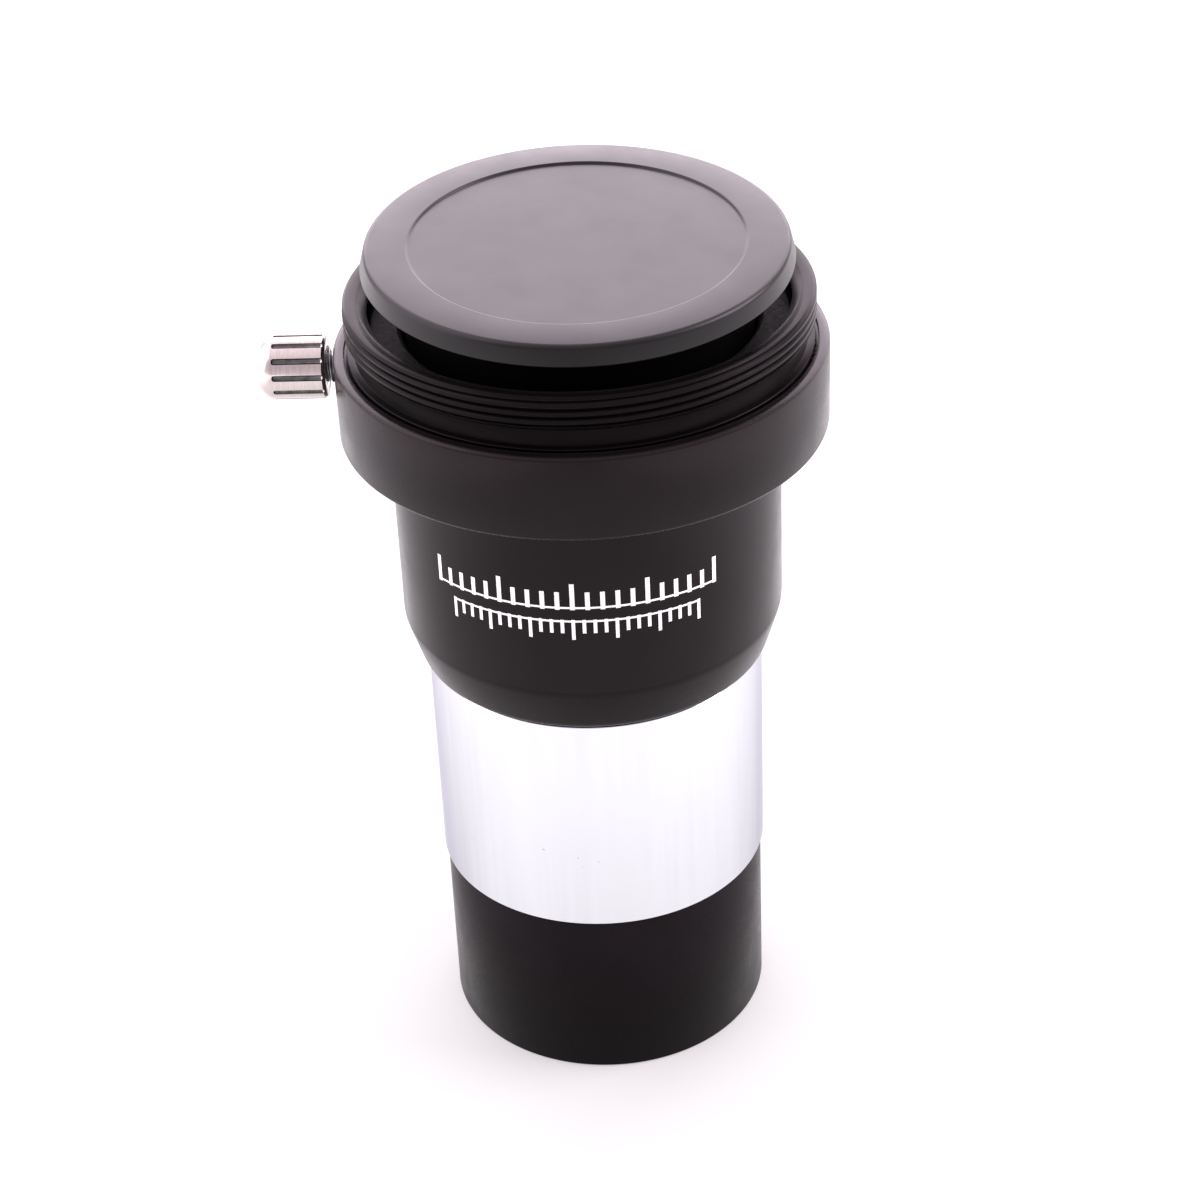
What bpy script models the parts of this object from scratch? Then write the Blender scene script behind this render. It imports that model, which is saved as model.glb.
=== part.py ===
"""Barlow lens: a 31.75 mm nosepiece with a negative doublet at its foot, an
eyepiece holder with a thumbscrew and an M42 camera thread at its head.

The optical axis is Z. The origin is on that axis, in the plane of the foot of
the lens cell. The thumbscrew points to -X. Sizes are in millimetres and are
turned into metres by MM.
"""

import math

import bmesh
import bpy
from mathutils import Quaternion

MM = 0.001
GAP = 0.3            # room between pieces that touch on the real object
ROUND = 56           # facets round the large turned pieces
ROUND_SMALL = 40     # facets round the pieces inside the cell
ROUND_SCREW = 24     # facets round the thumbscrew

# Lens cell, the black piece the object stands on
CELL_R = 15.57
CELL_SHOULDER_Z = 18.0
CELL_SPIGOT_R = 14.1
CELL_SPIGOT_TOP_Z = 22.0
CELL_FOOT_ROUND = 0.2
FILTER_RECESS_R = 13.9
FILTER_RECESS_Z = 5.6
LENS_LIP_R = 10.9
LENS_LIP_Z = 6.6
LENS_BORE_R = 12.0

# Doublet: a crown that is hollow on both sides and a flint meniscus
LENS_R = 11.7
CROWN_FRONT_RADIUS = 80.0
CONTACT_RADIUS = 55.0
FLINT_BACK_RADIUS = 160.0
CROWN_MIDDLE = 1.6
FLINT_MIDDLE = 2.6

# Threaded ring that holds the doublet down
RETAINER_HEIGHT = 2.0
RETAINER_HOLE_R = 10.4
SPANNER_SLOT_WIDTH = 1.2
SPANNER_SLOT_DEPTH = 0.9

# Plated nosepiece, the 31.75 mm barrel that goes into a focuser
NOSE_R = 15.875
NOSE_BOTTOM_Z = CELL_SHOULDER_Z + GAP
NOSE_SHOULDER_Z = 41.0
NOSE_NECK_R = 15.3
NOSE_TOP_Z = 48.0
NOSE_BORE_R = 14.4

# Body tube
BODY_BOTTOM_Z = NOSE_SHOULDER_Z + GAP
BODY_BOTTOM_R = 16.24
BODY_STOP_FACE_R = 15.96         # inner edge of the face that meets the focuser
BODY_R = 17.83
TAPER_TOP_Z = 45.6
BODY_TOP_Z = 67.7
BODY_STOP_R = 14.6
BODY_STOP_Z = (48.3, 50.0)
EYEPIECE_BORE_R = 15.95

# Eyepiece holder, the wide collar
COLLAR_R = 22.2
COLLAR_Z = (64.5, 72.6)
COLLAR_CHAMFER = 0.4
COLLAR_TOP_EASE = (0.6, 0.33)    # across and down
HOLDER_SPIGOT_R = 19.3
SEAT_R = 18.55                   # outer edge of the seat, past it the spigot slopes
SEAT_Z = 75.0
POCKET_R = 21.2                  # shallow pocket for the foot of the ring
POCKET_Z = 72.2

# Ring with the M42 x 0.75 camera thread
RING_BOTTOM_Z = POCKET_Z + GAP
RING_TOP_Z = 77.6
RING_BORE_R = 19.6
LIP_R = POCKET_R - GAP
LIP_TOP_Z = 72.72
BAND_R = 20.25
BAND_TOP_Z = 74.25
THREAD_R = 21.0
THREAD_ROOT_R = 20.6
THREAD_PITCH = 0.75
THREAD_TURNS = 3
THREAD_TOP_Z = 77.0              # upper edge of the first crest
RING_TOP_R = 20.7
MOUTH_R = 19.7                   # where the ring's top face starts
MOUTH_LIP_R = 18.85              # and the lip that it slopes down to
MOUTH_LIP_Z = (76.2, 76.75)

# Thumbscrew, M3 x 0.5, its axis square to the tube
SCREW_Z = 70.18
STUD_R = 1.5
STUD_HOLE_R = STUD_R + GAP
STUD_TIP = 15.2      # distances from the optical axis
KNOB_BACK = 22.9
KNOB_DOME = 27.7
KNOB_END = 29.5
KNOB_R = 2.95
KNOB_FLUTES = 12
FLUTE_TURN = math.radians(5.7)   # how far round the screw's axis the flutes stand
FLUTE_R = 0.3

# Push-in dust cap, sitting slightly askew and not pushed home
CAP_PIVOT_Z = 74.0
CAP_TOP = 8.3        # above the pivot
CAP_TOP_R = 18.76
CAP_RIM_R = 19.12
CAP_RIM = 1.86
CAP_RECESS_R = 14.93
CAP_RECESS = 0.2
CAP_FLOOR = 1.5
PLUG_R = 15.55
PLUG_WALL = 1.0
PLUG_LENGTH = 8.0
CAP_TILT = math.radians(2.7)
CAP_LEAN = math.radians(-81.0)


def clear_scene():
    for obj in list(bpy.data.objects):
        bpy.data.objects.remove(obj, do_unlink=True)


def make_material(name, colour, roughness, metallic, clear=0.0):
    mat = bpy.data.materials.new(name)
    mat.use_nodes = True
    shader = mat.node_tree.nodes["Principled BSDF"]
    shader.inputs["Base Color"].default_value = (*colour, 1.0)
    shader.inputs["Roughness"].default_value = roughness
    shader.inputs["Metallic"].default_value = metallic
    shader.inputs["Transmission Weight"].default_value = clear
    mat.diffuse_color = (*colour, 1.0)
    return mat


def finish(name, bm, mat):
    """Close a bmesh into a named object, smooth with its real edges sharp."""
    bmesh.ops.remove_doubles(bm, verts=bm.verts, dist=1e-6)
    bmesh.ops.recalc_face_normals(bm, faces=bm.faces)
    mesh = bpy.data.meshes.new(name)
    bm.to_mesh(mesh)
    bm.free()
    mesh.shade_smooth()
    mesh.set_sharp_from_angle(angle=math.radians(28))
    mesh.materials.append(mat)
    obj = bpy.data.objects.new(name, mesh)
    bpy.context.scene.collection.objects.link(obj)
    return obj


def turned(name, profile, mat, facets=ROUND):
    """Turn a profile of (radius, height) points round the local Z axis.

    The profile is a closed loop, or a chain with both of its ends on the axis.
    """
    bm = bmesh.new()
    points = [bm.verts.new((r * MM, 0, h * MM)) for r, h in profile]
    edges = [bm.edges.new(pair) for pair in zip(points, points[1:])]
    if profile[0][0] > 0 or profile[-1][0] > 0:
        edges.append(bm.edges.new((points[-1], points[0])))
    bmesh.ops.spin(
        bm,
        geom=points + edges,
        cent=(0, 0, 0),
        axis=(0, 0, 1),
        angle=math.tau,
        steps=facets,
        use_merge=True,
    )
    return finish(name, bm, mat)


def cutter(name, bm):
    mesh = bpy.data.meshes.new(name)
    bmesh.ops.recalc_face_normals(bm, faces=bm.faces)
    bm.to_mesh(mesh)
    bm.free()
    obj = bpy.data.objects.new(name, mesh)
    obj.hide_render = True
    obj.display_type = "WIRE"
    bpy.context.scene.collection.objects.link(obj)
    return obj


def cut(obj, tool):
    mod = obj.modifiers.new("Cut", "BOOLEAN")
    mod.operation = "DIFFERENCE"
    mod.solver = "EXACT"
    mod.object = tool


def aim_outward(obj):
    """Lay a piece on the screw's axis, its local Z pointing to -X."""
    obj.location = (0, 0, SCREW_Z * MM)
    obj.rotation_euler = (0, -math.pi / 2, 0)


def bulge(radius, r):
    """Height of a spherical face at a distance r from its middle."""
    return radius - math.sqrt(radius * radius - r * r)


def spherical(vertex, radius, r_from, r_to, steps=5):
    """Points along a spherical face that is lowest in the middle."""
    rs = [r_from + (r_to - r_from) * i / steps for i in range(steps + 1)]
    return [(r, vertex + bulge(radius, r)) for r in rs]


def build_lens_cell(mat):
    top = CELL_SPIGOT_TOP_Z
    foot = CELL_FOOT_ROUND
    corner = [
        (CELL_R - foot * (1 - math.cos(a)), foot * (1 - math.sin(a)))
        for a in (0, math.pi / 4, math.pi / 2)
    ]
    profile = [
        (LENS_BORE_R, top),
        (CELL_SPIGOT_R - 0.3, top),
        (CELL_SPIGOT_R, top - 0.3),
        (CELL_SPIGOT_R, CELL_SHOULDER_Z),
        (CELL_R - 0.2, CELL_SHOULDER_Z),
        (CELL_R, CELL_SHOULDER_Z - 0.2),
        *corner,
        (FILTER_RECESS_R + 0.3, 0),
        (FILTER_RECESS_R, 0.3),
        (FILTER_RECESS_R, FILTER_RECESS_Z),
        (LENS_LIP_R, FILTER_RECESS_Z),
        (LENS_LIP_R, LENS_LIP_Z),
        (LENS_BORE_R, LENS_LIP_Z),
    ]
    return turned("lens_cell", profile, mat)


def build_doublet(glass):
    """Two lenses and the height of the upper one's rim."""
    seat = LENS_LIP_Z + GAP
    front = seat + bulge(CROWN_FRONT_RADIUS, LENS_LIP_R)
    middle = front + CROWN_MIDDLE
    under = [
        (r, front - bulge(CROWN_FRONT_RADIUS, r))
        for r in [LENS_LIP_R * (5 - i) / 5 for i in range(6)]
    ]
    over = spherical(middle, CONTACT_RADIUS, 0, LENS_R)
    crown = turned(
        "crown_lens", over + [(LENS_R, seat)] + under, glass, ROUND_SMALL
    )
    back = middle + GAP + FLINT_MIDDLE
    over = spherical(back, FLINT_BACK_RADIUS, 0, LENS_R, 3)
    under = spherical(middle + GAP, CONTACT_RADIUS, LENS_R, 0)
    flint = turned("flint_lens", over + under, glass, ROUND_SMALL)
    return crown, flint, over[-1][1]


def build_retainer(mat, rim):
    bottom = rim + GAP
    top = bottom + RETAINER_HEIGHT
    profile = [
        (RETAINER_HOLE_R, top),
        (LENS_R, top),
        (LENS_R, bottom),
        (RETAINER_HOLE_R + 0.3, bottom),
        (RETAINER_HOLE_R, bottom + 0.4),
    ]
    ring = turned("retaining_ring", profile, mat, ROUND_SMALL)
    bm = bmesh.new()
    made = bmesh.ops.create_cube(bm, size=1.0)
    bmesh.ops.scale(
        bm,
        vec=(3 * LENS_R * MM, SPANNER_SLOT_WIDTH * MM, 2 * SPANNER_SLOT_DEPTH * MM),
        verts=made["verts"],
    )
    bmesh.ops.translate(bm, vec=(0, 0, top * MM), verts=made["verts"])
    cut(ring, cutter("spanner_slots", bm))
    return ring


def build_nosepiece(mat):
    profile = [
        (NOSE_BORE_R, NOSE_TOP_Z),
        (NOSE_NECK_R - 0.3, NOSE_TOP_Z),
        (NOSE_NECK_R, NOSE_TOP_Z - 0.3),
        (NOSE_NECK_R, NOSE_SHOULDER_Z),
        (NOSE_R, NOSE_SHOULDER_Z),
        (NOSE_R, NOSE_BOTTOM_Z + 0.15),
        (NOSE_R - 0.15, NOSE_BOTTOM_Z),
        (NOSE_BORE_R, NOSE_BOTTOM_Z),
    ]
    return turned("nosepiece_barrel", profile, mat)


def build_body(mat):
    low, high = BODY_STOP_Z
    profile = [
        (EYEPIECE_BORE_R, BODY_TOP_Z),
        (BODY_R - 0.3, BODY_TOP_Z),
        (BODY_R, BODY_TOP_Z - 0.3),
        (BODY_R, TAPER_TOP_Z),
        (BODY_BOTTOM_R + 0.3, BODY_BOTTOM_Z + 0.35),
        (BODY_BOTTOM_R, BODY_BOTTOM_Z),
        (BODY_STOP_FACE_R, BODY_BOTTOM_Z),
        (NOSE_NECK_R + GAP, BODY_BOTTOM_Z + 0.4),
        (NOSE_NECK_R + GAP, low),
        (BODY_STOP_R, low),
        (BODY_STOP_R, high),
        (EYEPIECE_BORE_R, high),
    ]
    return turned("body_tube", profile, mat)


def build_holder(mat):
    low, high = COLLAR_Z
    edge = COLLAR_CHAMFER
    across, down = COLLAR_TOP_EASE
    pocket = BODY_TOP_Z + GAP
    profile = [
        (EYEPIECE_BORE_R + 0.4, SEAT_Z),
        (SEAT_R, SEAT_Z),
        (HOLDER_SPIGOT_R, SEAT_Z - 0.5),
        (HOLDER_SPIGOT_R, POCKET_Z),
        (POCKET_R, POCKET_Z),
        (POCKET_R, high),
        (COLLAR_R - across, high),
        (COLLAR_R, high - down),
        (COLLAR_R, low + edge),
        (COLLAR_R - edge, low),
        (BODY_R + GAP, low),
        (BODY_R + GAP, pocket),
        (EYEPIECE_BORE_R, pocket),
        (EYEPIECE_BORE_R, SEAT_Z - 0.4),
    ]
    holder = turned("eyepiece_holder", profile, mat)
    bm = bmesh.new()
    bmesh.ops.create_cone(
        bm,
        cap_ends=True,
        segments=ROUND_SCREW,
        radius1=STUD_HOLE_R * MM,
        radius2=STUD_HOLE_R * MM,
        depth=12 * MM,
    )
    bmesh.ops.translate(bm, vec=(0, 0, 19 * MM), verts=bm.verts)
    tool = cutter("screw_hole", bm)
    aim_outward(tool)
    cut(holder, tool)
    return holder


def build_t_ring(mat):
    crest = THREAD_R
    root = THREAD_ROOT_R
    low, high = MOUTH_LIP_Z
    profile = [
        (MOUTH_LIP_R, low),
        (MOUTH_LIP_R, high),
        (MOUTH_R, RING_TOP_Z),
        (RING_TOP_R, RING_TOP_Z),
        (RING_TOP_R, RING_TOP_Z - 0.2),
        (root, RING_TOP_Z - 0.32),
    ]
    z = THREAD_TOP_Z
    for turn in range(THREAD_TURNS):
        profile += [
            (root, z + 0.21),
            (crest, z),
            (crest, z - 0.28),
            (root, z - 0.49),
        ]
        z -= THREAD_PITCH
    profile += [
        (BAND_R, BAND_TOP_Z),
        (BAND_R, LIP_TOP_Z),
        (LIP_R, LIP_TOP_Z),
        (LIP_R, RING_BOTTOM_Z),
        (RING_BORE_R, RING_BOTTOM_Z),
        (RING_BORE_R, SEAT_Z + 0.45),
    ]
    return turned("t_thread_ring", profile, mat)


def build_thumbscrew(knob_mat, stud_mat):
    dome = [
        (KNOB_R * math.cos(a), KNOB_DOME + (KNOB_END - KNOB_DOME) * math.sin(a))
        for a in [math.pi / 2 * i / 6 for i in range(6, -1, -1)]
    ]
    dome[0] = (0, KNOB_END)
    profile = dome + [
        (KNOB_R, KNOB_BACK + 0.25),
        (KNOB_R - 0.25, KNOB_BACK),
        (STUD_HOLE_R, KNOB_BACK),
        (STUD_HOLE_R, KNOB_BACK + 3.0),
        (0, KNOB_BACK + 3.0),
    ]
    knob = turned("thumbscrew_knob", profile, knob_mat, 2 * KNOB_FLUTES)
    bm = bmesh.new()
    for i in range(KNOB_FLUTES):
        turn = math.tau * i / KNOB_FLUTES + FLUTE_TURN
        made = bmesh.ops.create_cone(
            bm,
            cap_ends=True,
            segments=8,
            radius1=FLUTE_R * MM,
            radius2=FLUTE_R * MM,
            depth=8 * MM,
        )
        place = (
            KNOB_R * math.cos(turn) * MM,
            KNOB_R * math.sin(turn) * MM,
            (KNOB_BACK + 0.5 + 4) * MM,
        )
        bmesh.ops.translate(bm, vec=place, verts=made["verts"])
    flutes = cutter("knob_flutes", bm)
    aim_outward(flutes)
    aim_outward(knob)
    cut(knob, flutes)

    end = KNOB_BACK + 3.0 - GAP
    profile = [
        (0, end),
        (STUD_R, end),
        (STUD_R, STUD_TIP + 0.5),
        (STUD_R - 0.5, STUD_TIP),
        (0, STUD_TIP),
    ]
    stud = turned("thumbscrew_stud", profile, stud_mat, ROUND_SCREW)
    aim_outward(stud)
    return knob, stud


def build_dust_cap(mat):
    top = CAP_TOP
    under = CAP_TOP - CAP_RIM
    bottom = under - PLUG_LENGTH
    floor = top - CAP_RECESS - CAP_FLOOR
    profile = [
        (0, top - CAP_RECESS),
        (CAP_RECESS_R - 0.15, top - CAP_RECESS),
        (CAP_RECESS_R, top),
        (CAP_TOP_R - 0.3, top),
        (CAP_TOP_R, top - 0.25),
        (CAP_RIM_R, under + 0.1),
        (CAP_RIM_R - 0.15, under),
        (PLUG_R, under),
        (PLUG_R, bottom + 0.5),
        (PLUG_R - 0.25, bottom),
        (PLUG_R - PLUG_WALL, bottom),
        (PLUG_R - PLUG_WALL, floor),
        (0, floor),
    ]
    cap = turned("dust_cap", profile, mat)
    cap.location = (0, 0, CAP_PIVOT_Z * MM)
    hinge = (-math.sin(CAP_LEAN), math.cos(CAP_LEAN), 0)
    cap.rotation_mode = "QUATERNION"
    cap.rotation_quaternion = Quaternion(hinge, CAP_TILT)
    return cap


def main():
    clear_scene()
    anodised = make_material("black_anodised", (0.012, 0.011, 0.012), 0.35, 0.6)
    ring_black = make_material("ring_black", (0.013, 0.012, 0.013), 0.32, 0.6)
    cell_black = make_material("cell_black", (0.014, 0.013, 0.014), 0.3, 0.6)
    plating = make_material("bright_plating", (0.80, 0.81, 0.83), 0.16, 1.0)
    knob_metal = make_material("knob_plating", (0.82, 0.81, 0.82), 0.14, 1.0)
    steel = make_material("steel", (0.55, 0.54, 0.53), 0.3, 1.0)
    plastic = make_material("black_plastic", (0.022, 0.021, 0.022), 0.4, 0.0)
    glass = make_material("coated_glass", (0.90, 0.96, 0.93), 0.03, 0.0, 0.9)
    blackened = make_material("blackened_ring", (0.02, 0.02, 0.02), 0.5, 0.5)

    build_lens_cell(cell_black)
    rim = build_doublet(glass)[2]
    build_retainer(blackened, rim)
    build_nosepiece(plating)
    build_body(anodised)
    build_holder(anodised)
    build_t_ring(ring_black)
    build_thumbscrew(knob_metal, steel)
    build_dust_cap(plastic)


main()
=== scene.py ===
"""Barlow lens: the finished look of a 31.75 mm nosepiece with a negative
doublet at its foot, an eyepiece holder with a thumbscrew, a camera thread and
a push-in dust cap that has not been pushed home.

The optical axis is Z and the origin is in the plane of the foot. Sizes of the
object are in millimetres and MM turns them into metres. The studio and the
camera are placed in metres.
"""

import math

import bpy
from mathutils import Matrix, Vector


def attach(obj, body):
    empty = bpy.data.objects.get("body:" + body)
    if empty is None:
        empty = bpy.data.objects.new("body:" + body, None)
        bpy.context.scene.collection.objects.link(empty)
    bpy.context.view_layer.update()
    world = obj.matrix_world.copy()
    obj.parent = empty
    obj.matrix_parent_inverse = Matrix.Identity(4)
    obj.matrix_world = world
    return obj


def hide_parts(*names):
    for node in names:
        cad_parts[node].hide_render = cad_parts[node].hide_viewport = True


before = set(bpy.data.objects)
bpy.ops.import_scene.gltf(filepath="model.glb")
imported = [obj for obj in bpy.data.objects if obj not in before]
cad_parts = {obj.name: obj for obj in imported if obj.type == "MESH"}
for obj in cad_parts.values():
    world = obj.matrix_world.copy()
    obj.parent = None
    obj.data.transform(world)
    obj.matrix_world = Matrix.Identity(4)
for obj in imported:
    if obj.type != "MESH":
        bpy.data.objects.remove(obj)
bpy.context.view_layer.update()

MM = 0.001
SIDES = 192            # round the large turned pieces
SIDES_SMALL = 96       # round the thumbscrew and the small bores
LENS_STEPS = 12        # from the middle of a lens face to its edge
TURN = math.tau

# Heights and radii of the frame that the finished pieces keep to
CELL_R = 15.57
CELL_SHOULDER_Z = 18.0
CELL_SPIGOT_R = 14.1
CELL_SPIGOT_TOP_Z = 22.0
CELL_PITCH = 0.6           # of the thread into the nosepiece, and for a filter
FILTER_RECESS_R = 13.9
FILTER_RECESS_Z = 5.6
LENS_LIP_R = 10.9
LENS_LIP_Z = 6.6
LENS_BORE_R = 12.0
LENS_R = 11.7
CROWN_FRONT_RADIUS = 80.0
CONTACT_RADIUS = 55.0
FLINT_BACK_RADIUS = 160.0
CROWN_MIDDLE = 1.6
FLINT_MIDDLE = 2.6
LENS_GAP = 0.3
RETAINER_HEIGHT = 2.0
RETAINER_HOLE_R = 10.4
SPANNER_SLOT = (26, 1.2, 1.8)      # along, across and up
NOSE_R = 15.875
NOSE_BOTTOM_Z = 18.04
NOSE_SHOULDER_Z = 41.0
NOSE_NECK_R = 15.3
NOSE_TOP_Z = 48.0
NOSE_BORE_R = 14.4
RIB_START_Z = 23.4                 # light ribs down the nosepiece's bore
RIB_END_Z = 45.5
RIB_PITCH = 0.9
RIB_WIDTH = 0.7
RIB_DEPTH = 0.32
BODY_R = 17.83
BODY_BOTTOM_Z = 41.3
BODY_TOP_Z = 67.7
BODY_STOP_R = 14.6
BODY_STOP_Z = (48.3, 50.0)
EYEPIECE_BORE_R = 15.95
COLLAR_R = 22.2
COLLAR_BOTTOM_Z = 64.5
SEAT_Z = 75.0
POCKET_R = 21.2                    # shallow pocket for the foot of the ring
POCKET_Z = 72.2
RING_TOP_Z = 77.6
RING_BORE_R = 19.6
THREAD_R = 21.0
THREAD_ROOT_R = 20.66
THREAD_PITCH = 0.75
BAND_R = 20.25
SCREW_Z = 70.18
SCREW_HOLE_R = 1.62
SCREW_PITCH = 0.5
STUD_R = 1.5
STUD_TIP = 15.2
KNOB_R = 2.95
KNOB_BACK = 22.9
KNOB_DOME = 27.7
KNOB_END = 29.5
KNOB_FLUTES = 12
KNOB_SOCKET_R = 1.8                # the hole that the stud is fixed in
FLUTE_R = 0.28
FLUTE_LENGTH = 4.6
FLUTE_TURN = 5.7                   # degrees round the screw's axis
CAP_PIVOT_Z = 74.0
CAP_TOP = 8.3                      # above the pivot
CAP_RIM = 1.86
CAP_RECESS = 0.2
CAP_FLOOR = 1.5
PLUG_R = 15.55
PLUG_BORE_R = 14.55
PLUG_LENGTH = 8.0
CAP_TILT = math.radians(2.7)
CAP_LEAN = math.radians(-81.0)

# Print, and the camera, whose place is in metres
PRINT_TURN = math.radians(93)      # from the middle of the print to +X
PRINT_LIFT = 0.012
LINE_WIDTH = 0.2
CAMERA_LENS = 83.9035
CAMERA_PLACE = (0.01168288, -0.22292269, 0.18702317)
CAMERA_TURN = (57.42219, 2.21584, 1.42482)         # degrees


# --- Modelling ------------------------------------------------------------

def nothing_selected():
    if bpy.context.object and bpy.context.object.mode != "OBJECT":
        bpy.ops.object.mode_set(mode="OBJECT")
    bpy.ops.object.select_all(action="DESELECT")


def take(piece):
    """Make a piece the only selected one and the active one."""
    nothing_selected()
    piece.select_set(True)
    bpy.context.view_layer.objects.active = piece


def settle(piece):
    """Put a piece's place, turn and scale into its mesh."""
    take(piece)
    bpy.ops.object.transform_apply(location=True, rotation=True, scale=True)


def named(name):
    piece = bpy.context.object
    piece.name = name
    piece.data.name = name
    return piece


def modify(piece, kind, **values):
    """Add a modifier, set it and apply it."""
    take(piece)
    bpy.ops.object.modifier_add(type=kind)
    mod = piece.modifiers[-1]
    for key, value in values.items():
        setattr(mod, key, value)
    bpy.ops.object.modifier_apply(modifier=mod.name)


def pick_rim():
    """Select the open edges of the mesh that is being edited."""
    bpy.ops.mesh.select_all(action="DESELECT")
    bpy.ops.mesh.select_non_manifold(
        extend=False,
        use_wire=False,
        use_boundary=True,
        use_multi_face=False,
        use_non_contiguous=False,
        use_verts=False,
    )


def draw_on(start, end):
    """Extrude the selected ring from one (radius, height) to the next."""
    bpy.ops.mesh.extrude_region_move(
        TRANSFORM_OT_translate={"value": (0, 0, (end[1] - start[1]) * MM)}
    )
    if end[0] == 0:
        bpy.ops.mesh.merge(type="CENTER")
    elif end[0] != start[0]:
        grow = end[0] / start[0]
        bpy.ops.transform.resize(
            value=(grow, grow, 1), center_override=(0, 0, end[1] * MM)
        )


def turned(name, profile, sides=SIDES):
    """Turn a piece on the lathe from (radius, height) points.

    The profile is a closed loop, or a chain with both of its ends on the axis.
    """
    solid = profile[0][0] == 0
    chain = profile[1:] if solid else profile
    nothing_selected()
    bpy.ops.mesh.primitive_circle_add(
        vertices=sides, radius=chain[0][0] * MM, location=(0, 0, chain[0][1] * MM)
    )
    piece = named(name)
    settle(piece)
    bpy.ops.object.mode_set(mode="EDIT")
    bpy.ops.mesh.select_mode(type="VERT")
    bpy.ops.mesh.select_all(action="SELECT")
    for start, end in zip(chain, chain[1:]):
        draw_on(start, end)
    pick_rim()
    if solid:
        draw_on(profile[1], profile[0])
    else:
        bpy.ops.mesh.bridge_edge_loops()
    bpy.ops.mesh.select_all(action="SELECT")
    bpy.ops.mesh.remove_doubles(threshold=1e-7)
    bpy.ops.mesh.normals_make_consistent(inside=False)
    bpy.ops.object.mode_set(mode="OBJECT")
    return piece


def ease(piece, width, segments=3, limit=24):
    """Break the sharp edges of a piece."""
    modify(
        piece,
        "BEVEL",
        width=width * MM,
        segments=segments,
        limit_method="ANGLE",
        angle_limit=math.radians(limit),
        use_clamp_overlap=True,
    )


def smooth(piece, angle=32):
    take(piece)
    bpy.ops.object.shade_smooth_by_angle(angle=math.radians(angle))


def subtract(piece, tool):
    """Cut a tool's shape out of a piece and put the tool away."""
    modify(piece, "BOOLEAN", operation="DIFFERENCE", solver="EXACT", object=tool)
    bpy.data.objects.remove(tool, do_unlink=True)


def screw_groove(root, crest, clear, pitch, start, turns, steps=96):
    """The cutter for a 60 degree thread: a ridge that climbs round the axis.

    root and crest are radii, clear is the radius in the open where the ridge
    ends, and start is the height of the ridge's middle where it begins.
    """
    floor = pitch * 0.12
    out = math.copysign(0.06, crest - root)
    flank = floor + 2 * abs(crest - out - root) * math.tan(math.radians(30))
    nothing_selected()
    bpy.ops.mesh.primitive_plane_add(
        size=1, location=(root * MM, 0, start * MM), rotation=(math.pi / 2, 0, 0)
    )
    tool = named("thread_cutter")
    tool.scale = (1e-6, floor * MM, 1)
    settle(tool)
    bpy.ops.object.mode_set(mode="EDIT")
    bpy.ops.mesh.select_mode(type="VERT")
    bpy.ops.mesh.select_all(action="SELECT")
    bpy.ops.mesh.remove_doubles(threshold=1e-5)
    bpy.ops.mesh.select_all(action="SELECT")
    here, wide = root, floor
    mouth = flank + 0.1
    for radius, across in ((crest - out, flank), (crest, mouth), (clear, mouth)):
        bpy.ops.mesh.extrude_region_move(
            TRANSFORM_OT_translate={"value": ((radius - here) * MM, 0, 0)}
        )
        bpy.ops.transform.resize(
            value=(1, 1, across / wide), center_override=(radius * MM, 0, start * MM)
        )
        here, wide = radius, across
    bpy.ops.mesh.select_all(action="SELECT")
    bpy.ops.mesh.dissolve_faces()
    bpy.ops.mesh.select_all(action="SELECT")
    bpy.ops.mesh.delete(type="ONLY_FACE")
    bpy.ops.object.mode_set(mode="OBJECT")
    modify(
        tool,
        "SCREW",
        axis="Z",
        angle=TURN,
        screw_offset=pitch * MM,
        iterations=turns,
        steps=steps,
        render_steps=steps,
        use_merge_vertices=False,
    )
    take(tool)
    bpy.ops.object.mode_set(mode="EDIT")
    pick_rim()
    bpy.ops.mesh.fill_holes(sides=0)
    bpy.ops.mesh.select_all(action="SELECT")
    bpy.ops.mesh.normals_make_consistent(inside=False)
    bpy.ops.object.mode_set(mode="OBJECT")
    return tool


def bulge(radius, r):
    """Height of a spherical face at a distance r from its middle."""
    return radius - math.sqrt(radius * radius - r * r)


def spherical(vertex, radius, r_from, r_to):
    """Points along a spherical face that is lowest in the middle."""
    steps = LENS_STEPS
    rs = [r_from + (r_to - r_from) * i / steps for i in range(steps)] + [r_to]
    return [(r, vertex + bulge(radius, r)) for r in rs]


def point_outward(piece):
    """Lay a piece on the screw's axis, its local Z pointing to -X."""
    piece.location = (0, 0, SCREW_Z * MM)
    piece.rotation_euler = (0, -math.pi / 2, 0)
    settle(piece)


# --- Materials -------------------------------------------------------------

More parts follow.
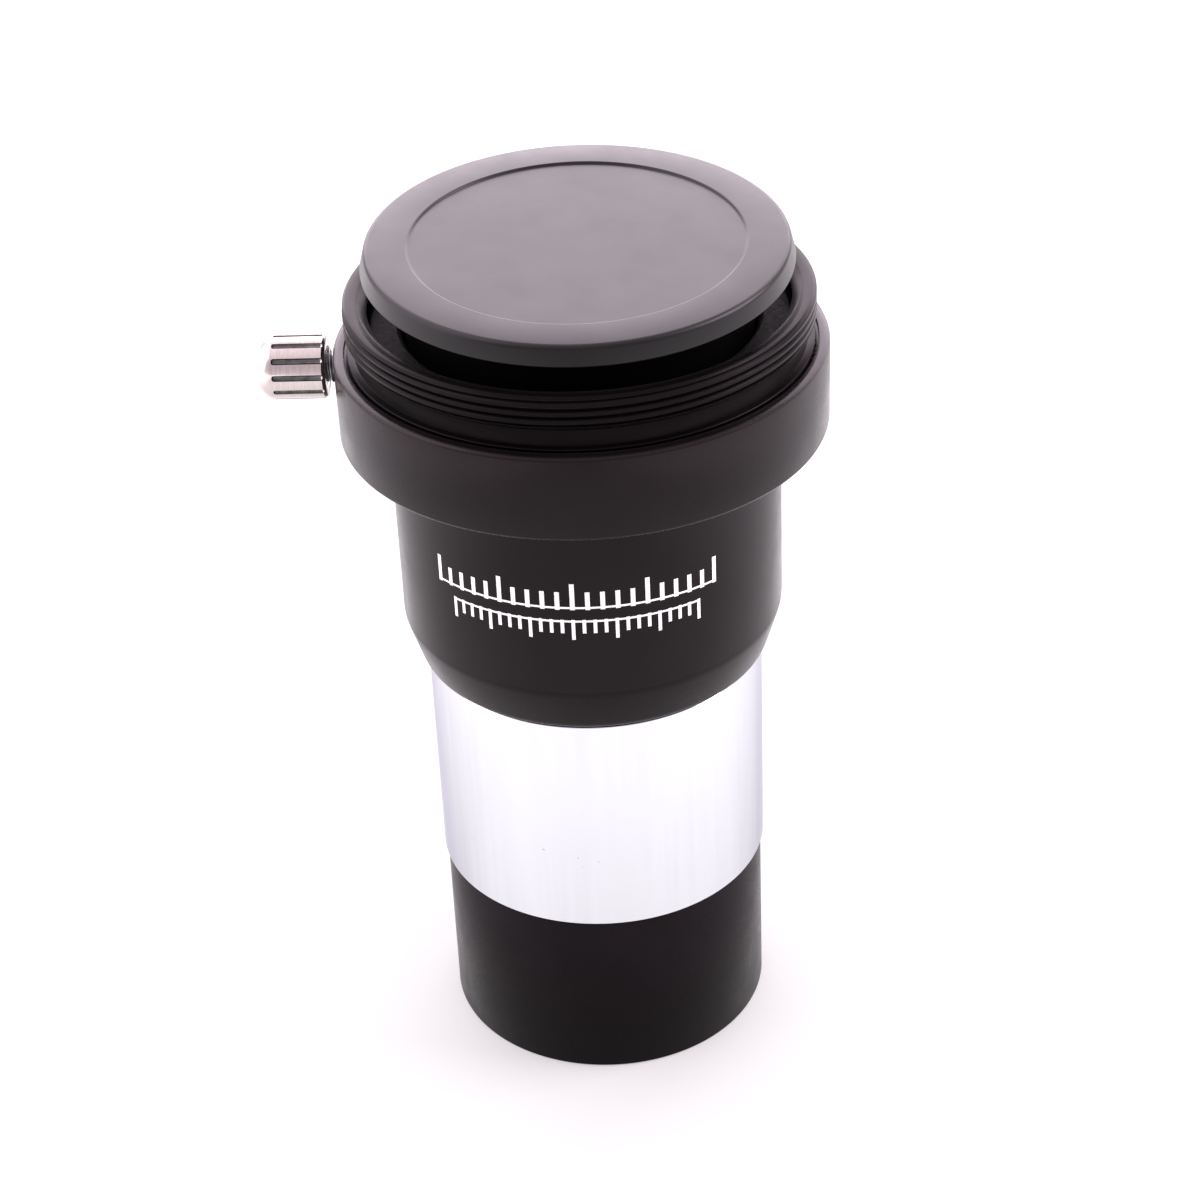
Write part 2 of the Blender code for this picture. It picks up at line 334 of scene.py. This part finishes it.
class Finish:
    """A material and short names for the nodes that it is made from."""

    def __init__(self, name, **sockets):
        self.material = bpy.data.materials.new(name)
        self.material.use_nodes = True
        self.tree = self.material.node_tree
        self.shader = self.tree.nodes["Principled BSDF"]
        for key, value in sockets.items():
            socket = self.shader.inputs[key.replace("_", " ")]
            if isinstance(value, tuple) and len(value) == 3:
                value = (*value, 1.0)
            socket.default_value = value
        self.place = self.tree.nodes.new("ShaderNodeTexCoord").outputs["Object"]

    def link(self, source, target):
        self.tree.links.new(source, target)

    def noise(self, scale, stretch=(1, 1, 1), detail=4.0, rough=0.55):
        """Noise with so many features to the metre, drawn out along an axis."""
        mapping = self.tree.nodes.new("ShaderNodeMapping")
        mapping.inputs["Scale"].default_value = stretch
        self.link(self.place, mapping.inputs["Vector"])
        node = self.tree.nodes.new("ShaderNodeTexNoise")
        node.inputs["Scale"].default_value = scale
        node.inputs["Detail"].default_value = detail
        node.inputs["Roughness"].default_value = rough
        self.link(mapping.outputs["Vector"], node.inputs["Vector"])
        return node.outputs["Fac"]

    def spread(self, source, low, high, to_low=0.0, to_high=1.0):
        node = self.tree.nodes.new("ShaderNodeMapRange")
        node.inputs["From Min"].default_value = low
        node.inputs["From Max"].default_value = high
        node.inputs["To Min"].default_value = to_low
        node.inputs["To Max"].default_value = to_high
        self.link(source, node.inputs["Value"])
        return node.outputs["Result"]

    def blend(self, amount, first, second):
        """Mix two colours, either of which may be a socket."""
        node = self.tree.nodes.new("ShaderNodeMix")
        node.data_type = "RGBA"
        self.link(amount, node.inputs["Factor"])
        for socket, value in ((node.inputs[6], first), (node.inputs[7], second)):
            if isinstance(value, tuple):
                socket.default_value = (*value, 1.0)
            else:
                self.link(value, socket)
        return node.outputs[2]

    def maths(self, operation, first, second):
        node = self.tree.nodes.new("ShaderNodeMath")
        node.operation = operation
        for socket, value in zip(node.inputs, (first, second)):
            if isinstance(value, (int, float)):
                socket.default_value = value
            else:
                self.link(value, socket)
        return node.outputs["Value"]

    def colour(self, source):
        self.link(source, self.shader.inputs["Base Color"])

    def roughness(self, source):
        self.link(source, self.shader.inputs["Roughness"])

    def bump(self, source, height, strength=1.0):
        """Height in millimetres, laid over any bump that is there already."""
        node = self.tree.nodes.new("ShaderNodeBump")
        node.inputs["Strength"].default_value = strength
        node.inputs["Distance"].default_value = height * MM
        self.link(source, node.inputs["Height"])
        target = self.shader.inputs["Normal"]
        if target.links:
            self.link(target.links[0].from_socket, node.inputs["Normal"])
        self.link(node.outputs["Normal"], target)


def black_oxide(name, low, high, rough, specular=0.17, foot=None, bloom=0.0):
    """Dyed anodising: a fine blasted grain, cloudy colour, rubbed patches.

    Where foot is given, the colour is full from that height up, in millimetres,
    and is darkened from there down to the table as painted shade. bloom is the weight of
    the sheen.
    """
    f = Finish(
        name,
        Specular_IOR_Level=specular,
        IOR=1.5,
        Specular_Tint=(1.0, 0.86, 0.92),
        Sheen_Weight=bloom,
        Sheen_Roughness=0.3,
        Sheen_Tint=(1.0, 0.92, 0.95),
    )
    cloud = f.noise(180, detail=3)
    dye_and_shade = f.blend(f.spread(cloud, 0.35, 0.65), low, high)
    # Painted shade: below foot the colour darkens towards the table
    if foot:
        height = f.tree.nodes.new("ShaderNodeSeparateXYZ")
        f.link(f.place, height.inputs["Vector"])
        shade_fade = f.spread(height.outputs["Z"], 0, foot * MM)
        dye_and_shade = f.blend(shade_fade, tuple(0.12 * c for c in low), dye_and_shade)
    f.colour(dye_and_shade)
    rubbed = f.noise(420, detail=5)
    f.roughness(f.spread(rubbed, 0.3, 0.7, rough - 0.03, rough + 0.05))
    f.bump(f.noise(5200, detail=2), 0.004)
    f.bump(f.noise(900, stretch=(1, 1, 14), detail=2), 0.0015)
    return f.material


def bright_plating():
    """Plated brass: drawn streaks along the barrel, haze, a few pits."""
    # The low edge tint darkens the barrel's grazing sides: painted shade for the shaded
    # floor they reflect
    f = Finish("bright_plating", Metallic=1.0, Specular_Tint=(0.62, 0.61, 0.66))
    streak = f.noise(700, stretch=(1, 1, 0.03), detail=4, rough=0.6)
    haze = f.noise(90, stretch=(1, 1, 0.7), detail=3)
    streaks = f.spread(streak, 0.3, 0.7)
    tone = f.blend(streaks, (0.705, 0.728, 0.755), (0.770, 0.792, 0.818))
    tone = f.blend(f.spread(haze, 0.35, 0.7), tone, (0.738, 0.760, 0.784))
    pits = f.spread(f.noise(1500, detail=2, rough=0.4), 0.76, 0.80)
    patch = f.spread(f.noise(75, detail=1), 0.56, 0.66)
    pits = f.maths("MULTIPLY", pits, patch)
    f.colour(f.blend(pits, tone, (0.30, 0.27, 0.25)))
    f.roughness(f.spread(haze, 0.3, 0.7, 0.10, 0.24))
    f.bump(streak, 0.0012)
    f.bump(f.noise(320, stretch=(1, 1, 0.25), detail=2), 0.004)
    return f.material


def knob_plating():
    """Plated knob: warmer and greyer than the barrel, turned marks round it."""
    f = Finish("knob_plating", Metallic=1.0)
    tone = f.spread(f.noise(900, stretch=(6, 1, 1), detail=3), 0.3, 0.7)
    f.colour(f.blend(tone, (0.54, 0.49, 0.465), (0.64, 0.58, 0.55)))
    f.roughness(f.spread(f.noise(1800), 0.3, 0.7, 0.14, 0.22))
    f.bump(f.noise(4500, stretch=(5, 1, 1), detail=2), 0.0015)
    return f.material


def screw_steel(name, low, high):
    f = Finish(name, Metallic=1.0)
    f.colour(f.blend(f.spread(f.noise(1500), 0.3, 0.7), (low,) * 3, (high,) * 3))
    f.roughness(f.spread(f.noise(2600), 0.3, 0.7, 0.25, 0.45))
    f.bump(f.noise(6000), 0.003)
    return f.material


def cap_plastic():
    """Moulded black plastic with a satin grain and a cloudy bloom."""
    f = Finish("cap_plastic", Specular_IOR_Level=0.26, IOR=1.5)
    cloud = f.spread(f.noise(110, detail=4), 0.35, 0.65)
    f.colour(f.blend(cloud, (0.0022, 0.0019, 0.0022), (0.0036, 0.0032, 0.0036)))
    f.roughness(f.spread(f.noise(260, detail=5), 0.3, 0.7, 0.30, 0.37))
    f.bump(f.noise(4200, detail=3), 0.004)
    f.bump(f.noise(60, detail=2), 0.006)
    return f.material


def coated_glass(name, tint):
    """Clear glass with a thin dust on it, its reflections tinted by a coating."""
    f = Finish(
        name,
        IOR=1.52,
        Transmission_Weight=1.0,
        Specular_Tint=tint,
    )
    dust = f.spread(f.noise(1400, detail=6, rough=0.7), 0.55, 0.8, 0.01, 0.12)
    f.roughness(dust)
    stain = f.spread(f.noise(60), 0.3, 0.7)
    f.colour(f.blend(stain, (0.90, 0.97, 0.93), (0.94, 0.97, 0.97)))
    return f.material


def matt_black(name, level):
    """Blackening paint inside the optics."""
    f = Finish(name, Specular_IOR_Level=0.08)
    low = (level, level, level)
    high = (level * 1.8, level * 1.75, level * 1.7)
    f.colour(f.blend(f.spread(f.noise(900, detail=5), 0.3, 0.7), low, high))
    f.roughness(f.spread(f.noise(2000), 0.3, 0.7, 0.55, 0.75))
    f.bump(f.noise(3500, detail=4), 0.01)
    return f.material


def white_ink():
    f = Finish("white_ink", Specular_IOR_Level=0.3)
    cover = f.spread(f.noise(3000, detail=5), 0.3, 0.7)
    f.colour(f.blend(cover, (0.86, 0.85, 0.86), (0.98, 0.97, 0.98)))
    f.roughness(f.spread(f.noise(2500), 0.3, 0.7, 0.5, 0.65))
    f.bump(f.noise(5000), 0.004)
    return f.material


BODY_DYE = ((0.0026, 0.0020, 0.0018), (0.0036, 0.0028, 0.0026))
RING_DYE = ((0.0012, 0.0009, 0.0009), (0.0018, 0.0014, 0.0014))
CELL_DYE = ((0.0066, 0.0050, 0.0058), (0.0086, 0.0066, 0.0076))

body_black = black_oxide("body_black", *BODY_DYE, 0.22)
ring_black = black_oxide("ring_black", *RING_DYE, 0.30, 0.08, bloom=0.03)
# The cell's colour darkens from its shoulder down to the table: painted shade
cell_black = black_oxide("cell_black", *CELL_DYE, 0.28, 0.07, foot=CELL_SHOULDER_Z)
taper_black = black_oxide("taper_black", *BODY_DYE, 0.24, 0.13)
collar_black = black_oxide("collar_black", *BODY_DYE, 0.26, bloom=0.06)
# Dark metal for the knob's flutes: painted shade in the grooves
groove_shade_metal = screw_steel("groove_shade_metal", 0.07, 0.16)
plating = bright_plating()
knob_metal = knob_plating()
steel = screw_steel("screw_steel", 0.22, 0.40)
plastic = cap_plastic()
glass_front = coated_glass("glass_front", (0.45, 1.0, 0.62))
glass_back = coated_glass("glass_back", (0.75, 0.55, 1.0))
inner_black = matt_black("inner_black", 0.0012)
ink = white_ink()


def paint(piece, *materials):
    piece.data.materials.clear()
    for material in materials:
        piece.data.materials.append(material)


def coat(piece, reaches, index=1):
    """Give another of its materials to the faces at some radius and height."""
    take(piece)
    bpy.ops.object.mode_set(mode="EDIT")
    bpy.ops.mesh.select_mode(type="FACE")
    bpy.ops.mesh.select_all(action="DESELECT")
    bpy.ops.object.mode_set(mode="OBJECT")
    for face in piece.data.polygons:
        radius = math.hypot(face.center.x, face.center.y) / MM
        face.select = reaches(radius, face.center.z / MM)
    piece.active_material_index = index
    bpy.ops.object.mode_set(mode="EDIT")
    bpy.ops.object.material_slot_assign()
    bpy.ops.object.mode_set(mode="OBJECT")


def belongs(piece, body, *nodes, slot=None):
    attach(piece, body)
    if nodes:
        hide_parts(*nodes)


# --- Lens cell -------------------------------------------------------------

def make_cell():
    top = CELL_SPIGOT_TOP_Z
    profile = [
        (LENS_BORE_R, top),
        (CELL_SPIGOT_R - 0.3, top),
        (CELL_SPIGOT_R, top - 0.3),
        (CELL_SPIGOT_R, CELL_SHOULDER_Z + 0.9),
        (CELL_SPIGOT_R - 0.45, CELL_SHOULDER_Z + 0.65),
        (CELL_SPIGOT_R - 0.45, CELL_SHOULDER_Z),
        (CELL_R - 0.2, CELL_SHOULDER_Z),
        (CELL_R, CELL_SHOULDER_Z - 0.2),
        (CELL_R, 0.22),
        (CELL_R - 0.06, 0.07),
        (CELL_R - 0.2, 0.0),
        (FILTER_RECESS_R + 0.3, 0),
        (FILTER_RECESS_R, 0.3),
        (FILTER_RECESS_R, FILTER_RECESS_Z),
        (LENS_LIP_R + 0.5, FILTER_RECESS_Z),
        (LENS_LIP_R, FILTER_RECESS_Z + 0.35),
        (LENS_LIP_R, LENS_LIP_Z),
        (LENS_BORE_R, LENS_LIP_Z),
    ]
    cell = turned("cell_housing", profile)
    ease(cell, 0.05, 2, 30)
    subtract(cell, screw_groove(13.75, CELL_SPIGOT_R, 14.5, CELL_PITCH, 17.6, 8))
    subtract(cell, screw_groove(14.2, FILTER_RECESS_R, 13.5, CELL_PITCH, -0.9, 9))
    smooth(cell)
    paint(cell, cell_black)
    belongs(cell, "lens_cell", "lens_cell", slot="lens_cell")


def make_lenses():
    seat = LENS_LIP_Z + 0.3
    front = seat + bulge(CROWN_FRONT_RADIUS, LENS_LIP_R)
    middle = front + CROWN_MIDDLE
    under = [
        (r, front - bulge(CROWN_FRONT_RADIUS, r))
        for r in [LENS_LIP_R * (LENS_STEPS - i) / LENS_STEPS for i in range(LENS_STEPS + 1)]
    ]
    over = spherical(middle, CONTACT_RADIUS, 0, LENS_R)
    edge = [(LENS_R, seat + 0.2), (LENS_R - 0.2, seat)]
    crown = turned("crown_glass", over + edge + under)
    back = middle + LENS_GAP + FLINT_MIDDLE
    over = spherical(back, FLINT_BACK_RADIUS, 0, LENS_R)
    under = spherical(middle + LENS_GAP, CONTACT_RADIUS, LENS_R, 0)
    flint = turned("flint_glass", over + under)
    lenses = ((crown, glass_front, "crown_lens"), (flint, glass_back, "flint_lens"))
    for lens, glass, node in lenses:
        smooth(lens, 30)
        paint(lens, glass)
        belongs(lens, "lens_group", node, slot="glass")
    rim = over[-1][1]
    bottom = rim + LENS_GAP
    top = bottom + RETAINER_HEIGHT
    profile = [
        (RETAINER_HOLE_R, top),
        (LENS_R, top),
        (LENS_R, bottom),
        (10.7, bottom),
        (RETAINER_HOLE_R, bottom + 0.4),
    ]
    ring = turned("lens_retainer", profile)
    ease(ring, 0.08, 2)
    nothing_selected()
    bpy.ops.mesh.primitive_cube_add(size=1, location=(0, 0, top * MM))
    slot_tool = named("slot_tool")
    slot_tool.scale = [size * MM for size in SPANNER_SLOT]
    settle(slot_tool)
    subtract(ring, slot_tool)
    smooth(ring)
    paint(ring, inner_black)
    belongs(ring, "lens_group", "retaining_ring", slot="retaining_ring")


# --- Nosepiece ---------------------------------------------------------------

def make_nosepiece():
    low, high = NOSE_BOTTOM_Z, NOSE_TOP_Z
    profile = [
        (NOSE_BORE_R, high),
        (15.0, high),
        (NOSE_NECK_R, high - 0.3),
        (NOSE_NECK_R, 41.2),
        (NOSE_R - 0.12, NOSE_SHOULDER_Z),
        (NOSE_R, 40.9),
        (NOSE_R, low + 0.18),
        (NOSE_R - 0.15, low),
        (NOSE_BORE_R + 0.3, low),
        (NOSE_BORE_R, low + 0.3),
    ]
    z = RIB_START_Z
    while z < RIB_END_Z:
        profile += [
            (NOSE_BORE_R, z),
            (NOSE_BORE_R + RIB_DEPTH, z + RIB_WIDTH / 2),
            (NOSE_BORE_R, z + RIB_WIDTH),
        ]
        z += RIB_PITCH
    sleeve = turned("nose_sleeve", profile)
    ease(sleeve, 0.05, 2, 40)
    paint(sleeve, plating, inner_black)
    coat(sleeve, lambda r, z: r < NOSE_BORE_R + 0.4)
    smooth(sleeve)
    belongs(sleeve, "tube", "nosepiece_barrel", slot="plating")


# --- Body --------------------------------------------------------------------

def make_body():
    profile = [
        (EYEPIECE_BORE_R, BODY_TOP_Z),
        (BODY_R - 0.3, BODY_TOP_Z),
        (BODY_R, 67.4),
        (BODY_R, 46.1),
        (BODY_R - 0.03, 45.75),
        (BODY_R - 0.14, 45.3),
        (16.66, 41.95),
        (16.5, 41.6),
        (16.24, 41.36),
        (16.1, BODY_BOTTOM_Z),
        (15.96, BODY_BOTTOM_Z),
        (15.6, 41.7),
        (15.6, BODY_STOP_Z[0]),
        (BODY_STOP_R, BODY_STOP_Z[0]),
        (BODY_STOP_R, BODY_STOP_Z[1]),
        (EYEPIECE_BORE_R, BODY_STOP_Z[1]),
    ]
    body = turned("body_barrel", profile)
    ease(body, 0.04, 2, 40)
    smooth(body, 25)
    paint(body, body_black, inner_black, taper_black)
    coat(body, lambda r, z: r < 16.0 and z > 41.75)
    coat(body, lambda r, z: r > 16.0 and z < 46.0, 2)
    belongs(body, "tube", "body_tube", slot="body")


def make_holder():
    profile = [
        (EYEPIECE_BORE_R + 0.4, SEAT_Z),
        (18.55, SEAT_Z),
        (19.3, 74.5),
        (19.3, POCKET_Z),
        (POCKET_R, POCKET_Z),
        (POCKET_R, 72.6),
        (21.6, 72.6),
        (21.92, 72.5),
        (22.12, 72.38),
        (COLLAR_R, 72.2),
        (COLLAR_R, 64.92),
        (22.14, 64.75),
        (22.0, 64.6),
        (21.78, COLLAR_BOTTOM_Z),
        (18.0, COLLAR_BOTTOM_Z),
        (17.9, 64.65),
        (18.13, 64.9),
        (18.13, 68.0),
        (EYEPIECE_BORE_R, 68.0),
        (EYEPIECE_BORE_R, 74.6),
    ]
    collar = turned("holder_collar", profile)
    ease(collar, 0.04, 2, 40)
    nothing_selected()
    bpy.ops.mesh.primitive_cylinder_add(
        vertices=SIDES_SMALL,
        radius=SCREW_HOLE_R * MM,
        depth=12 * MM,
        location=(0, 0, 19 * MM),
    )
    drill = named("screw_drill")
    settle(drill)
    point_outward(drill)
    subtract(collar, drill)
    smooth(collar)
    paint(collar, collar_black, inner_black)
    coat(collar, lambda r, z: r < 19.35 and z > 72.3 or r < 16.1)
    belongs(collar, "tube", "eyepiece_holder", slot="body")


def make_thread_ring():
    profile = [
        (19.75, RING_TOP_Z),
        (20.6, RING_TOP_Z),
        (20.72, 77.55),
        (20.8, 77.43),
        (THREAD_R, 77.2),
        (THREAD_R, 74.95),
        (20.6, 74.65),
        (BAND_R, 74.25),
        (BAND_R, 72.72),
        (20.85, 72.72),
        (20.9, 72.68),
        (20.9, 72.5),
        (RING_BORE_R, 72.5),
        (RING_BORE_R, 75.45),
        (18.85, 76.2),
        (18.85, 76.72),
        (18.95, 76.88),
        (19.58, 77.5),
    ]
    ring = turned("camera_ring", profile)
    ease(ring, 0.04, 2, 40)
    subtract(ring, screw_groove(THREAD_ROOT_R, THREAD_R, 21.4, THREAD_PITCH, 74.41, 5))
    smooth(ring)
    paint(ring, ring_black, inner_black)
    coat(ring, lambda r, z: r < 19.7 and z < 76.3)
    belongs(ring, "tube", "t_thread_ring", slot="thread_ring")


# --- Thumbscrew --------------------------------------------------------------

def make_knob():
    rise = KNOB_END - KNOB_DOME
    dome = [
        (KNOB_R * math.cos(a), KNOB_DOME + rise * math.sin(a))
        for a in [math.pi / 2 * i / 14 for i in range(14, -1, -1)]
    ]
    dome[0] = (0, KNOB_END)
    profile = dome + [
        (KNOB_R, KNOB_BACK + 0.25),
        (KNOB_R - 0.25, KNOB_BACK),
        (KNOB_SOCKET_R, KNOB_BACK),
        (KNOB_SOCKET_R, KNOB_BACK + 3.0),
        (0, KNOB_BACK + 3.0),
    ]
    knob = turned("knob_turned", profile, SIDES_SMALL)
    ease(knob, 0.05, 2, 30)
    nothing_selected()
    bpy.ops.mesh.primitive_cylinder_add(
        vertices=20,
        radius=FLUTE_R * MM,
        depth=FLUTE_LENGTH * MM,
        location=(KNOB_R * MM, 0, (KNOB_BACK + 0.15 + FLUTE_LENGTH / 2) * MM),
    )
    flute = named("flute_tool")
    ease(flute, 0.2, 3, 60)
    settle(flute)
    step = TURN / KNOB_FLUTES
    first = math.radians(FLUTE_TURN - 90)
    for index in range(KNOB_FLUTES):
        take(flute)
        bpy.ops.object.duplicate()
        copy = bpy.context.object
        copy.rotation_euler = (0, 0, first + index * step)
        settle(copy)
        subtract(knob, copy)
    bpy.data.objects.remove(flute, do_unlink=True)
    # The flutes take the second, dark metal: painted shade in the grooves
    paint(knob, knob_metal, groove_shade_metal)
    low, high = KNOB_BACK + 0.35, KNOB_DOME + 0.1
    coat(knob, lambda r, z: 2.4 < r < KNOB_R - 0.05 and low < z < high)
    point_outward(knob)
    smooth(knob, 40)
    belongs(knob, "thumbscrew_knob", "thumbscrew_knob", slot="knob")


def make_stud():
    end = KNOB_BACK + 2.7
    profile = [
        (0, end),
        (STUD_R - 0.2, end),
        (STUD_R, end - 0.2),
        (STUD_R, STUD_TIP + 0.5),
        (STUD_R - 0.5, STUD_TIP),
        (0, STUD_TIP),
    ]
    stud = turned("stud_threaded", profile, 48)
    subtract(stud, screw_groove(1.2, STUD_R, 1.9, SCREW_PITCH, 13.9, 24, 48))
    point_outward(stud)
    smooth(stud)
    paint(stud, steel)
    belongs(stud, "thumbscrew_stud", "thumbscrew_stud", slot="stud")


# --- Dust cap ----------------------------------------------------------------

def make_cap():
    top = CAP_TOP
    under = top - CAP_RIM
    bottom = under - PLUG_LENGTH
    recess = top - CAP_RECESS
    floor = recess - CAP_FLOOR
    profile = [
        (0, recess),
        (14.3, recess),
        (14.7, recess),
        (14.78, recess),
        (14.83, recess + 0.03),
        (14.92, top - 0.04),
        (15.0, top),
        (15.08, top),
        (15.3, top),
        (18.3, top),
        (18.55, top - 0.06),
        (18.72, top - 0.22),
        (18.79, top - 0.4),
        (19.12, under + 0.16),
        (19.08, under + 0.05),
        (18.95, under),
        (15.75, under),
        (PLUG_R, under - 0.2),
        (PLUG_R, bottom + 0.5),
        (15.3, bottom),
        (PLUG_BORE_R, bottom),
        (PLUG_BORE_R, floor - 0.3),
        (14.25, floor),
        (0, floor),
    ]
    cap = turned("cap_moulding", profile)
    ease(cap, 0.04, 2, 40)
    cap.location = (0, 0, CAP_PIVOT_Z * MM)
    hinge = Vector((-math.sin(CAP_LEAN), math.cos(CAP_LEAN), 0))
    cap.rotation_mode = "QUATERNION"
    cap.rotation_quaternion = Matrix.Rotation(CAP_TILT, 4, hinge).to_quaternion()
    settle(cap)
    smooth(cap)
    paint(cap, plastic)
    belongs(cap, "dust_cap", "dust_cap", slot="dust_cap")


# --- Print on the body -------------------------------------------------------

def stroke(start, end, width):
    """A thin flat line from one (across, up) to the next, facing -Y."""
    (x0, z0), (x1, z1) = start, end
    length = math.hypot(x1 - x0, z1 - z0)
    nothing_selected()
    bpy.ops.mesh.primitive_plane_add(
        size=1,
        location=((x0 + x1) / 2 * MM, 0, (z0 + z1) / 2 * MM),
        rotation=(math.pi / 2, 0, 0),
    )
    line = named("stroke")
    line.scale = ((length + width) * MM, width * MM, 1)
    bpy.ops.object.transform_apply(location=False, rotation=True, scale=True)
    line.rotation_euler = (0, -math.atan2(z1 - z0, x1 - x0), 0)
    settle(line)
    cuts = int(length / 0.5)
    if cuts:
        bpy.ops.object.mode_set(mode="EDIT")
        bpy.ops.mesh.select_all(action="SELECT")
        bpy.ops.mesh.subdivide(number_cuts=cuts)
        bpy.ops.object.mode_set(mode="OBJECT")
    return line


def wrap(name, strokes):
    """Join strokes and bend them round the body's straight wall."""
    nothing_selected()
    for line in strokes:
        line.select_set(True)
    bpy.context.view_layer.objects.active = strokes[0]
    bpy.ops.object.join()
    piece = named(name)
    radius = (BODY_R + PRINT_LIFT) * MM
    for vertex in piece.data.vertices:
        turn = vertex.co.x / radius - PRINT_TURN
        vertex.co = (radius * math.cos(turn), radius * math.sin(turn), vertex.co.z)
    paint(piece, ink)
    belongs(piece, "tube")


def divisions(name, foot, reach, count, step, every, width):
    """A row of divisions off a line, some of them longer.

    foot is the line's height, reach is how far a long division goes, below 0
    on a row that hangs, and every is how many steps there are between two.
    """
    half = (count - 1) / 2 * step
    lines = [stroke((-half, foot), (half, foot), LINE_WIDTH)]
    for i in range(count):
        x = i * step - half
        tall = reach if i % every == 0 else 0.62 * reach
        lines.append(stroke((x, foot), (x, foot + tall), width))
    wrap(name, lines)


def make_print():
    """Two plain rows of divisions, the lower one finer, as on a vernier."""
    divisions("printed_symbol", 55.15, 2.25, 21, 1.34, 5, 0.42)
    divisions("printed_scale", 53.75, -1.75, 25, 0.97, 4, 0.32)


make_cell()
make_lenses()
make_nosepiece()
make_body()
make_holder()
make_thread_ring()
make_knob()
make_stud()
make_cap()
make_print()


# --- Studio ------------------------------------------------------------------

STUDIO_TINT = (1.0, 0.88, 0.97)


def make_floor():
    """Pale paper with a painted glow: lower near the piece, painted shade round its base,
    and higher out to the sides, painted light for the walls to reflect.
    """
    nothing_selected()
    bpy.ops.mesh.primitive_plane_add(size=3.0, location=(0, 0, -0.00002))
    floor = named("floor")
    settle(floor)
    f = Finish(
        "studio_paper",
        Base_Color=(0.305, 0.330, 0.310),
        Roughness=0.9,
        Specular_IOR_Level=0.1,
        Emission_Color=(1.0, 0.93, 0.985),
    )
    f.bump(f.noise(260, detail=5), 0.15, 0.35)
    split = f.tree.nodes.new("ShaderNodeSeparateXYZ")
    f.link(f.place, split.inputs["Vector"])
    aside = f.maths("ABSOLUTE", split.outputs["X"], 0)
    away = f.tree.nodes.new("ShaderNodeVectorMath")
    away.operation = "LENGTH"
    f.link(f.place, away.inputs[0])
    # Painted shade: the glow is lowest close to the piece
    base_shade_glow = f.spread(away.outputs["Value"], 0.02, 0.09, 0.42, 0.60)
    # Painted light: the glow rises out to the sides
    painted_glow = f.maths("ADD", base_shade_glow, f.spread(aside, 0.10, 0.22, 0.0, 1.2))
    f.link(painted_glow, f.shader.inputs["Emission Strength"])
    paint(floor, f.material)


def soft_light(name, place, aim, size, radiance):
    """A flat bank of light, as bright as radiance all over."""
    data = bpy.data.lights.new(name, "AREA")
    data.shape = "RECTANGLE"
    data.size, data.size_y = size
    data.energy = radiance * math.pi * size[0] * size[1]
    data.color = STUDIO_TINT
    light = bpy.data.objects.new(name, data)
    bpy.context.scene.collection.objects.link(light)
    light.location = place
    facing = Vector(aim) - Vector(place)
    light.rotation_euler = facing.to_track_quat("-Z", "Y").to_euler()


def make_studio():
    """Floor, three banks of light, and a room that is dimmer to the front."""
    make_floor()
    target = (0, 0, 0.05)
    soft_light("back_bank", (0.0, 0.70, 0.44), target, (1.1, 0.68), 4.7)
    soft_light("left_bank", (-0.70, 0.05, 0.55), target, (1.05, 1.05), 2.3)
    soft_light("right_bank", (0.70, 0.05, 0.55), target, (0.5, 0.5), 9.0)
    world = bpy.data.worlds.new("studio")
    world.use_nodes = True
    tree = world.node_tree
    place = tree.nodes.new("ShaderNodeTexCoord")
    split = tree.nodes.new("ShaderNodeSeparateXYZ")
    tree.links.new(place.outputs["Generated"], split.inputs["Vector"])
    ramp = tree.nodes.new("ShaderNodeValToRGB")
    tree.links.new(split.outputs["Z"], ramp.inputs["Fac"])
    levels = ((0.0, 1.0), (0.3, 0.8), (0.6, 0.75), (0.92, 0.95))
    for index, (height, level) in enumerate(levels):
        if index > 1:
            ramp.color_ramp.elements.new(height)
        ramp.color_ramp.elements[index].position = height
        ramp.color_ramp.elements[index].color = (*(level * c for c in STUDIO_TINT), 1.0)
    tree.links.new(ramp.outputs["Color"], tree.nodes["Background"].inputs["Color"])
    front = tree.nodes.new("ShaderNodeMapRange")
    front.inputs["From Min"].default_value = -0.9
    front.inputs["From Max"].default_value = 0.1
    front.inputs["To Min"].default_value = 1.0
    front.inputs["To Max"].default_value = 1.7
    tree.links.new(split.outputs["Y"], front.inputs["Value"])
    tree.links.new(front.outputs["Result"], tree.nodes["Background"].inputs["Strength"])
    bpy.context.scene.world = world


def make_camera():
    data = bpy.data.cameras.new("camera")
    data.sensor_width = 36
    data.lens = CAMERA_LENS
    data.clip_start = 0.01
    data.clip_end = 10
    camera = bpy.data.objects.new("camera", data)
    bpy.context.scene.collection.objects.link(camera)
    camera.location = CAMERA_PLACE
    camera.rotation_euler = [math.radians(angle) for angle in CAMERA_TURN]
    bpy.context.scene.camera = camera


make_studio()
make_camera()
bpy.context.scene.view_settings.view_transform = "Standard"
bpy.context.scene.view_settings.look = "None"
